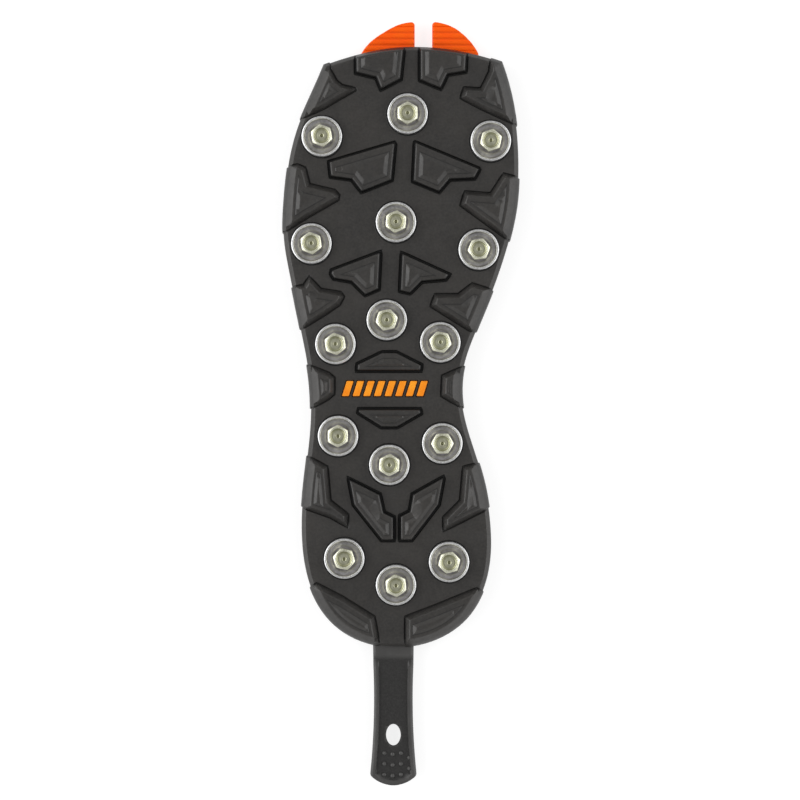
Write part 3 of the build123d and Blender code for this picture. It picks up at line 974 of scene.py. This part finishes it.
def build_screws(finish):
    for node in sorted(n for n in NODES if n.startswith("stud_screw")):
        low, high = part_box(node.replace("stud_screw", "traction_disc"))
        centre = Vector(((low.x + high.x) / 2, (low.y + high.y) / 2, 0))
        shank_low, head_top = (corner.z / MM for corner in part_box(node))
        middle = Vector((0, 0))
        shell = Shell()
        rings = [[shell.spot(0, 0, shank_low)]]
        for k in range(int((head_top - HEAD_SEAT_DEPTH - shank_low) / SHANK_PITCH)):
            for radius, rise in SHANK_RIB:
                z = shank_low + SHANK_TIP + k * SHANK_PITCH + rise
                rings.append(shell.ring(circle(middle, radius, HEAD_STEPS), z))
        for depth in [HEAD_SEAT_DEPTH] + HEAD_DEPTHS:
            round_spots = circle(middle, 1.0, HEAD_STEPS)
            spots = [p * head_radius(math.atan2(p.y, p.x), depth) for p in round_spots]
            rings.append(shell.ring(spots, head_top - depth, HEAD_SIDE_SHADE if depth > HEAD_SHADE_DEPTH else 0.0))
        for radius, depth, painted_shade in HEAD_DISH:
            if radius:
                rings.append(shell.ring(circle(middle, radius, HEAD_STEPS), head_top - depth, painted_shade))
            else:
                rings.append([shell.spot(0, 0, head_top - depth, painted_shade)])
        for a, b in zip(rings, rings[1:]):
            shell.join(a, b)
        name = node.replace("stud_screw", "hex_screw")
        obj = piece(name, shell.mesh(name, ROUND_EDGE), "screw_steel", finish, node)
        obj.location = centre
        obj.rotation_euler = (0, 0, head_turn(node, centre))
        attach(obj, "sole")


# Strap and prongs: sections from side to side, lofted along Y -----------------------------------


def span(loop, y):
    """Where a line at y crosses the loop: its lowest and highest x."""
    hits = []
    for a, b in zip(loop, loop[1:] + loop[:1]):
        if (a.y > y) != (b.y > y):
            hits.append(a.x + (b.x - a.x) * (y - a.y) / (b.y - a.y))
    return min(hits), max(hits)


def add_loft(shell, loop, stations, low, edge, columns, top, shade_below):
    """A bar with the loop's width at each station, a flat underside and rounded edges; top gives its
    height from the distance to the nearer side, the place across and the place along. Where the top
    is lower than the given shade height, the last argument, it gets painted shade."""
    rings = []
    for y in stations:
        left, right = span(loop, y)
        half = (right - left) / 2
        scale = min(1.0, half / (columns[-1] + 0.2))
        ins = [c * scale for c in columns]
        middle = (left + right) / 2
        offsets = [half - d for d in ins] + [x * (half - ins[-1]) for x in (0.67, 0.33, 0.0)]
        offsets += [-o for o in reversed(offsets[:-1])]
        corner = edge * scale
        start = [(left + corner, low), (middle, low), (right - corner, low), (right, low + corner)]
        side_top = top(0.0, right, y) - corner
        start += [(right, (low + side_top) / 2), (right, side_top)]
        upper = [(middle + offset, top(half - abs(offset), middle + offset, y)) for offset in offsets]
        side_top = top(0.0, left, y) - corner
        end = [(left, side_top), (left, (low + side_top) / 2), (left, low + corner)]
        ring = [shell.spot(x, y, z) for x, z in start]
        ring += [shell.spot(x, y, z, max(0.0, min(1.0, shade_below - z))) for x, z in upper]
        rings.append(ring + [shell.spot(x, y, z) for x, z in end])
    for a, b in zip(rings, rings[1:]):
        shell.bridge(b, a)
    shell.cap(rings[0], up=False)
    shell.cap(rings[-1])


def evenly(start, end, spacing):
    count = max(1, round(abs(end - start) / spacing))
    return [start + (end - start) * i / count for i in range(count + 1)]


def ease(value, start, end):
    t = max(0.0, min(1.0, (value - start) / (end - start)))
    return t * t * (3 - 2 * t)


# Distances from the side of the strap where its section has a point
STRAP_COLUMNS = [0.4, 0.8, 1.2, 1.7, 2.3, 2.5, 2.7, 2.9, 3.2]
# Where the strap starts, hidden in the heel, and where its loop is drawn back to
STRAP_START = -112.0
STRAP_BACK = -111.5
STRAP_EDGE = 0.5
# Its sections stand close together from here to here, where it bends
CLOSE_FROM = -123.0
CLOSE_TO = -140.0
# The raised rim: its height, its inner side, and where it fades in behind the boss
RIM_RAISE = 1.0
RIM_FOOT = 2.9
RIM_TOP = 2.3
RIM_FADE = (-127.5, -134.0)
# Where the boss at the root rises out of the web, and how round the strap's upper edges are
BOSS_FADE = (-129.0, -125.8)
CROWN_DROP = 0.55
CROWN_WIDE = 1.5
# The rounded end counts this far past the strap's widest place
END_REACH = 6.0
# The bend at the root, in metres along the sole
STRAP_BENDS = (-0.1255, -0.137)
# The hole's wall, from below: distance out from the CAD hole, and height from the underside or top
HOLE_LOWER = [(0.1, -0.2), (-0.2, 0.3)]
HOLE_UPPER = [(-0.2, -0.3), (0.1, 0.2)]
NUB_RADIUS = 1.1
NUB_PITCH = 4.2
NUB_RAISE = 0.9
NUB_SINK = 0.3
NUB_STEPS = 16
# The first and last rows of nubs, from the tip of the strap, and the middle column from the hole's
NUB_FIRST_ROW = 16.2
NUB_LAST_ROW = 5.4
NUB_ASIDE = -0.4
# How far the middle column and the short outer one stand closer to the tip
NUB_DROP = 0.6
NUB_OUTER_DROP = 2.3


def build_strap(finish):
    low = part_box("heel_strap")[0].z / MM
    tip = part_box("heel_strap")[0].y / MM
    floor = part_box("heel_strap_anchor")[1].z / MM - RIM_RAISE
    loops = flat_loops("heel_strap", low, up=False)
    loop = without_straight_points(loops[0])
    hole = loops[1]
    root = max(p.y for p in loop)
    loop = [Vector((p.x, STRAP_BACK if p.y > root - 0.01 else p.y)) for p in loop]
    wide = max(loop, key=lambda p: p.x).y

    def top(gap, x, y):
        gap = min(gap, end_distance(loop, x, y, wide))
        rim = ease(gap, RIM_FOOT, RIM_TOP) * ease(y, *RIM_FADE)
        crown = CROWN_DROP * ease(gap, CROWN_WIDE, 0.0)
        return floor + RIM_RAISE * max(rim, ease(y, *BOSS_FADE)) - crown

    stations = evenly(STRAP_START, CLOSE_FROM + 1, 2.0) + evenly(CLOSE_FROM, CLOSE_TO, 0.5)
    stations += evenly(CLOSE_TO - 1, wide, 1.5) + evenly(wide - 0.3, tip + 0.4, 0.35)
    stations += [tip + 0.25, tip + 0.12, tip + 0.03]
    shell = Shell()
    # The web and the rounded edges below the top of the rim get painted shade
    add_loft(shell, loop, stations, low, STRAP_EDGE, STRAP_COLUMNS, top, floor + RIM_RAISE)
    body = placed("strap_body", shell.mesh("strap_body", ROUND_EDGE))
    shell = Shell(cut_hole(body, hole, low, floor))
    middle = (min(p.x for p in hole) + max(p.x for p in hole)) / 2
    rows = evenly(tip + NUB_FIRST_ROW, tip + NUB_LAST_ROW, NUB_LAST_ROW)
    # the outer column is one nub short
    for column, count, drop in ((-1, 3, 0.0), (0, 3, NUB_DROP), (1, 3, 0.0), (2, 2, NUB_OUTER_DROP)):
        for y in rows[:count]:
            add_nub(shell, middle + NUB_ASIDE + column * NUB_PITCH, y - drop, floor)
    mesh = shell.mesh("heel_pull_strap", ROUND_EDGE)
    obj = piece("heel_pull_strap", mesh, "strap_black", finish, "heel_strap", "heel_strap_anchor")
    height = (low + floor) / 2 * MM
    start, end = ((0, y, height) for y in STRAP_BENDS)
    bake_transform(obj, "sole", "heel_strap", start=start, end=end)


def end_distance(loop, x, y, wide):
    """Distance to the edge of the strap near its rounded end, endless away from that end."""
    if y > wide + END_REACH:
        return math.inf
    return float(-distances([(x, y)], loop)[0])


def cut_hole(obj, hole, low, floor):
    """The strap with its hole cut, a small chamfer round both rims."""
    shell = Shell()
    section = [(out, low + z) for out, z in HOLE_LOWER] + [(out, floor + z) for out, z in HOLE_UPPER]
    rings = [shell.ring(inset(hole, [-out] * len(hole)), z) for out, z in section]
    for a, b in zip(rings, rings[1:]):
        shell.bridge(a, b)
    shell.cap(rings[0], up=False)
    shell.cap(rings[-1])
    return subtract(obj, shell.mesh("cutter"))


def add_nub(shell, x, y, floor):
    """A low dome, its foot sunk into the web of the strap."""
    section = [(0.0, floor - NUB_SINK, 0.0), (NUB_RADIUS, floor - NUB_SINK, 0.0)]
    for k in range(1, 6):
        angle = math.pi / 2 * k / 5
        section.append((NUB_RADIUS * math.cos(angle), floor + NUB_RAISE * math.sin(angle), 0.0))
    shell.lathe(section, x, y, steps=NUB_STEPS)


RIBS = 4
RIB_DEPTH = 0.4
# The ribs start this far from the prong's root and stop this far from its tip
RIBS_FROM_ROOT = 5.0
RIBS_FROM_TIP = 2.0
PRONG_COLUMNS = [0.3, 0.7, 1.4]
PRONG_EDGE = 0.4
PRONG_CROWN_DROP = 0.3
PRONG_CROWN_WIDE = 0.7
# The gap between the clip's base and the back of the prong
PRONG_GAP = 0.2
# The bend at the toe wall, in metres along the sole
PRONG_BENDS = (0.1708, 0.178)


def build_prong(node, finish):
    low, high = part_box(node)
    low_z, high_z = low.z / MM, high.z / MM
    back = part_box("toe_clip_base")[1].y / MM + PRONG_GAP
    loop = without_straight_points(flat_loops(node, low_z, up=False)[0])
    root = min(p.y for p in loop)
    loop = [Vector((p.x, back - 0.5 if p.y < root + 0.01 else p.y)) for p in loop]
    tip = max(p.y for p in loop)
    ribs_from = root + RIBS_FROM_ROOT

    def top(gap, x, y):
        share = (y - ribs_from) / (tip - RIBS_FROM_TIP - ribs_from)
        wave = 0.0
        if 0 < share < 1:
            wave = ease(abs((share * RIBS) % 1 - 0.5), 0.15, 0.5)
        return high_z - RIB_DEPTH * wave - PRONG_CROWN_DROP * ease(gap, PRONG_CROWN_WIDE, 0.0)

    stations = evenly(back, ribs_from, 1.0) + evenly(ribs_from + 0.2, tip - 1.2, 0.25)
    stations += [tip - 0.9, tip - 0.6, tip - 0.4, tip - 0.25, tip - 0.12, tip - 0.04]
    shell = Shell()
    # Below the top, the rib grooves and the rounded edges get painted shade
    add_loft(shell, loop, stations[::-1], low_z, PRONG_EDGE, PRONG_COLUMNS, top, high_z)
    name = node.replace("toe_prong", "toe_tab")
    obj = piece(name, shell.mesh(name, ROUND_EDGE), "tpu_orange", finish, node)
    height = (low_z + high_z) / 2 * MM
    start, end = ((0, y, height) for y in PRONG_BENDS)
    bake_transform(obj, "sole", node, start=start, end=end)


# Stage ------------------------------------------------------------------------------------------

# Strength of the world's light from the sides, from low all round, and from straight above
WORLD_SIDES = 0.6
WORLD_AROUND = 0.6
WORLD_TOP = 0.35
# The two soft lights, in metres from the middle of the sole, and their power in watts
LIGHT_SIZE = (1.8, 1.1)
LIGHT_OUT = 1.2
LIGHT_FORWARD = 0.1
LIGHT_UP = 0.65
LEFT_POWER = 12
RIGHT_POWER = 7.5
# Half the side of the floor, in metres, and its own faint light, which keeps it pale
FLOOR_HALF = 8
FLOOR_GLOW = 0.78
# What the camera stands over, and how much it covers at the land, in metres
CAMERA_OVER = (-0.000375, 0.001875)
CAMERA_COVERS = 0.4


def add_floor():
    mesh = bpy.data.meshes.new("floor")
    far = FLOOR_HALF
    mesh.from_pydata([(-far, -far, 0), (far, -far, 0), (far, far, 0), (-far, far, 0)], [], [(0, 1, 2, 3)])
    floor = placed("floor", mesh)
    f = Finish("pale_floor", Roughness=0.9, Specular_IOR_Level=0.0, Emission_Strength=FLOOR_GLOW)
    f.shader.inputs["Emission Color"].default_value = (1, 1, 1, 1)
    f.link(f.mix(f.noise(0.4, 2.0), grey(0.3), grey(0.32)), "Base Color")
    mesh.materials.append(f.material)


def add_light(name, place, power):
    """A soft rectangle that faces the middle of the sole."""
    lamp = bpy.data.lights.new(name, "AREA")
    lamp.shape = "RECTANGLE"
    lamp.size, lamp.size_y = LIGHT_SIZE
    lamp.energy = power
    obj = placed(name, lamp)
    obj.location = place
    obj.rotation_euler = (-Vector(place)).to_track_quat("-Z", "Y").to_euler()


def add_studio():
    """Soft light from both sides, a little from heel and toe, and least from straight above."""
    world = bpy.data.worlds.new("studio")
    bpy.context.scene.world = world
    world.use_nodes = True
    tree = world.node_tree
    direction = tree.nodes.new("ShaderNodeTexCoord").outputs["Generated"]
    axes = tree.nodes.new("ShaderNodeSeparateXYZ")
    tree.links.new(direction, axes.inputs[0])
    sideways = tree.nodes.new("ShaderNodeMath")
    sideways.operation = "ABSOLUTE"
    tree.links.new(axes.outputs["X"], sideways.inputs[0])
    parts = []
    for value, start, end, dim, bright in (
        (sideways.outputs[0], 0.2, 0.9, 0.0, WORLD_SIDES),
        (axes.outputs["Z"], 0.9, 0.3, WORLD_TOP, WORLD_AROUND),
    ):
        ramp = tree.nodes.new("ShaderNodeMapRange")
        tree.links.new(value, ramp.inputs["Value"])
        for key, number in zip(("From Min", "From Max", "To Min", "To Max"), (start, end, dim, bright)):
            ramp.inputs[key].default_value = number
        parts.append(ramp.outputs["Result"])
    total = tree.nodes.new("ShaderNodeMath")
    tree.links.new(parts[0], total.inputs[0])
    tree.links.new(parts[1], total.inputs[1])
    tree.links.new(total.outputs[0], tree.nodes["Background"].inputs["Strength"])
    tree.nodes["Background"].inputs["Color"].default_value = (1, 1, 1, 1)
    add_light("left_soft", (-LIGHT_OUT, LIGHT_FORWARD, LIGHT_UP), LEFT_POWER)
    add_light("right_soft", (LIGHT_OUT, LIGHT_FORWARD, LIGHT_UP), RIGHT_POWER)
    bpy.context.scene.view_settings.view_transform = "Standard"


def add_camera():
    """Straight above the sole, looking down."""
    camera = bpy.data.cameras.new("camera")
    camera.lens = 100
    camera.sensor_width = 36
    obj = placed("camera", camera)
    up = LAND * MM + CAMERA_COVERS * camera.lens / camera.sensor_width
    obj.location = (*CAMERA_OVER, up)
    bpy.context.scene.camera = obj


# Everything together ----------------------------------------------------------------------------

black = rubber()
orange = orange_plastic("orange_tpu", (1.0, 0.12, 0.0005, 1), (1.0, 0.095, 0.0005, 1))
amber = orange_plastic("badge_amber", (0.98, 0.36, 0.02, 1), (0.9, 0.24, 0.008, 1))
# The disc's dish colour: partly its duller cast finish, partly painted shade at the rim's foot and round the
# head
dull_dish_and_shade = (0.22, 0.21, 0.225, 1)
aluminium = metal("turned_aluminium", grey(0.55), grey(0.82), dull_dish_and_shade, 0.32, 0.5, 0.0006)
dull_zinc = (0.6, 0.6, 0.46, 1)
bright_zinc = (0.78, 0.78, 0.64, 1)
# Painted shade in the dished top of the screw heads and their dimple
dimple_shade = (0.24, 0.24, 0.14, 1)
zinc = metal("zinc_steel", dull_zinc, bright_zinc, dimple_shade, 0.32, 0.48, 0.0008)
# Its third colour is painted shade; the inserts carry none, so it does not show
insert = metal("plain_steel", grey(0.5), grey(0.65), grey(0.4), 0.25, 0.4, 0.0008)
plate = nylon()

add_camera()
add_studio()
add_floor()
build_rubber(black)
build_badge(amber)
build_discs(aluminium)
build_screws(zinc)
build_strap(strap_rubber())
build_prong("toe_prong_outer", orange)
build_prong("toe_prong_inner", orange)

for name, node in NODES.items():
    finish = plate
    if name.startswith("stud_insert"):
        finish = insert
    if name == "toe_clip_base":
        finish = orange
    node.data.materials.clear()
    node.data.materials.append(finish)
